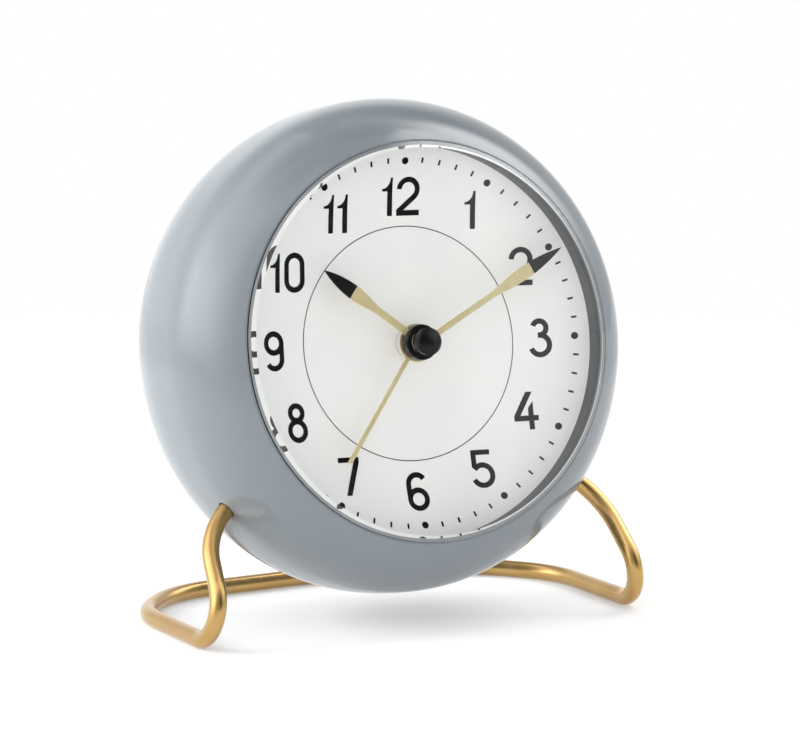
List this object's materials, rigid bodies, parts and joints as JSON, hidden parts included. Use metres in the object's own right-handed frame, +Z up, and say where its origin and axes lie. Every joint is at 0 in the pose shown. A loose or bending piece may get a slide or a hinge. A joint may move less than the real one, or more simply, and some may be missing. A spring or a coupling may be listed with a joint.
{
  "type": "table alarm clock",
  "caption": "Round table alarm clock leaning back on a bent brass wire stand, with a domed crystal, printed dial, setting knobs, switches and a battery quartz movement.",
  "frame": {"origin": "on the table, midway between the sides and midway between the front and rear of the whole clock", "axes": "+Z up from the table, +X to the right as the dial is read, dial facing -Y and leaning back"},
  "size_m": [0.1096, 0.0684, 0.1148],
  "materials": {
    "lacquer": "gloss lacquered moulding, cool pale grey",
    "stand_brass": "polished",
    "steel": "satin",
    "contact_plate": "nickel plated",
    "dial_white": "matt white print",
    "ring_grey": "satin grey",
    "gasket": "matt black",
    "crystal": "clear polished mineral crystal",
    "hand_gold": "pale satin gold",
    "hub_black": "gloss black",
    "train_brass": "satin",
    "wheel_plastic": "natural white moulding",
    "plate_plastic": "moulded grey",
    "coil_former": "moulded ivory",
    "coil_copper": "enamelled copper winding",
    "board_green": "solder-resist green",
    "component_black": "moulded black",
    "cover_grey": "fine satin moulding",
    "control_dark": "satin black",
    "cell_jacket": "printed plain jacket"
  },
  "bodies": {
    "clock": {"case_shell": "lacquer", "stand_wire": "stand_brass", "stand_sockets": "steel", "dial": "dial_white", "dial_ring": "ring_grey", "lens_gasket": "gasket", "lens": "crystal", "dial_screws": "steel", "movement_front_plate": "plate_plastic", "movement_rear_plate": "plate_plastic", "movement_screws": "steel", "stator": "steel", "coil_bobbin": "coil_former", "coil_winding": "coil_copper", "rear_cover": "cover_grey", "rear_screws": "steel", "battery_cell": "cell_jacket", "battery_contact": "contact_plate", "battery_spring": "contact_plate", "alarm_switch_body": "component_black", "circuit_board": "board_green", "snooze_switch": "component_black", "clock_chip": "component_black", "quartz_crystal": "contact_plate", "buzzer": "component_black"},
    "minute": {"minute_arbor": "steel", "clutch_washer": "steel", "minute_hand": "hand_gold", "centre_cap": "hub_black"},
    "hour": {"hour_wheel": "wheel_plastic", "hour_hub": "hub_black", "hour_hand": "hand_gold"},
    "intermediate": {"intermediate_wheel": "wheel_plastic"},
    "time_setting": {"time_knob": "control_dark"},
    "alarm_pointer": {"alarm_wheel": "wheel_plastic", "alarm_hand": "hand_gold"},
    "alarm_idler": {"alarm_idler": "wheel_plastic"},
    "alarm_setting": {"alarm_knob": "control_dark"},
    "second": {"second_wheel": "train_brass"},
    "third": {"third_wheel": "train_brass"},
    "centre": {"centre_wheel": "train_brass"},
    "fifth": {"fifth_wheel": "train_brass"},
    "rotor": {"rotor": "steel"},
    "alarm_slider": {"alarm_switch": "control_dark"},
    "snooze": {"snooze_button": "control_dark"},
    "door": {"battery_door": "cover_grey"}
  },
  "joints": [
    {"name": "minute_turn", "type": "hinge", "parent": "clock", "child": "minute", "pos_m": [0, -0.01794, 0.06262], "axis": [0, -0.9851, 0.1719], "continuous": true},
    {"name": "hour_turn", "type": "hinge", "parent": "clock", "child": "hour", "pos_m": [0, -0.01794, 0.06262], "axis": [0, -0.9851, 0.1719], "continuous": true},
    {"name": "intermediate_turn", "type": "hinge", "parent": "clock", "child": "intermediate", "pos_m": [0.00679, -0.01677, 0.0693], "axis": [0, -0.9851, 0.1719], "continuous": true},
    {"name": "time_knob_turn", "type": "hinge", "parent": "clock", "child": "time_setting", "pos_m": [0.01358, -0.0156, 0.07599], "axis": [0, -0.9851, 0.1719], "continuous": true},
    {"name": "alarm_hand_turn", "type": "hinge", "parent": "clock", "child": "alarm_pointer", "pos_m": [0, -0.01794, 0.06262], "axis": [0, -0.9851, 0.1719], "continuous": true},
    {"name": "alarm_idler_turn", "type": "hinge", "parent": "clock", "child": "alarm_idler", "pos_m": [-0.00679, -0.01677, 0.0693], "axis": [0, -0.9851, 0.1719], "continuous": true},
    {"name": "alarm_knob_turn", "type": "hinge", "parent": "clock", "child": "alarm_setting", "pos_m": [-0.01358, -0.0156, 0.07599], "axis": [0, -0.9851, 0.1719], "continuous": true},
    {"name": "second_turn", "type": "hinge", "parent": "clock", "child": "second", "pos_m": [-0.0028, -0.02021, 0.0496], "axis": [0, -0.9851, 0.1719], "continuous": true},
    {"name": "third_turn", "type": "hinge", "parent": "clock", "child": "third", "pos_m": [-0.00935, -0.01887, 0.0573], "axis": [0, -0.9851, 0.1719], "continuous": true},
    {"name": "centre_turn", "type": "hinge", "parent": "clock", "child": "centre", "pos_m": [0, -0.01794, 0.06262], "axis": [0, -0.9851, 0.1719], "continuous": true},
    {"name": "fifth_turn", "type": "hinge", "parent": "clock", "child": "fifth", "pos_m": [0.00548, -0.01996, 0.05104], "axis": [0, -0.9851, 0.1719], "continuous": true},
    {"name": "rotor_turn", "type": "hinge", "parent": "clock", "child": "rotor", "pos_m": [0.01224, -0.01953, 0.05346], "axis": [0, -0.9851, 0.1719], "continuous": true},
    {"name": "alarm_switch_slide", "type": "slide", "parent": "clock", "child": "alarm_slider", "axis": [1, 0, 0], "range_m": [0, 0.003]},
    {"name": "snooze_press", "type": "slide", "parent": "clock", "child": "snooze", "axis": [0, -0.9851, 0.1719], "range_m": [0, 0.001], "stiffness_N_per_m": 400, "springref_m": -0.001},
    {"name": "battery_door_lift", "type": "slide", "parent": "clock", "child": "door", "axis": [0, 0.9851, -0.1719], "range_m": [0, 0.03]}
  ],
  "couplings": [
    {"joint": "hour_turn", "follows": "minute_turn", "ratio": 0.083333},
    {"joint": "intermediate_turn", "follows": "minute_turn", "ratio": -0.33333},
    {"joint": "time_knob_turn", "follows": "minute_turn", "ratio": 1},
    {"joint": "alarm_idler_turn", "follows": "alarm_hand_turn", "ratio": -3},
    {"joint": "alarm_knob_turn", "follows": "alarm_hand_turn", "ratio": 1},
    {"joint": "third_turn", "follows": "second_turn", "ratio": -0.13333},
    {"joint": "centre_turn", "follows": "second_turn", "ratio": 0.016667},
    {"joint": "fifth_turn", "follows": "second_turn", "ratio": -6},
    {"joint": "rotor_turn", "follows": "second_turn", "ratio": 30}
  ]
}
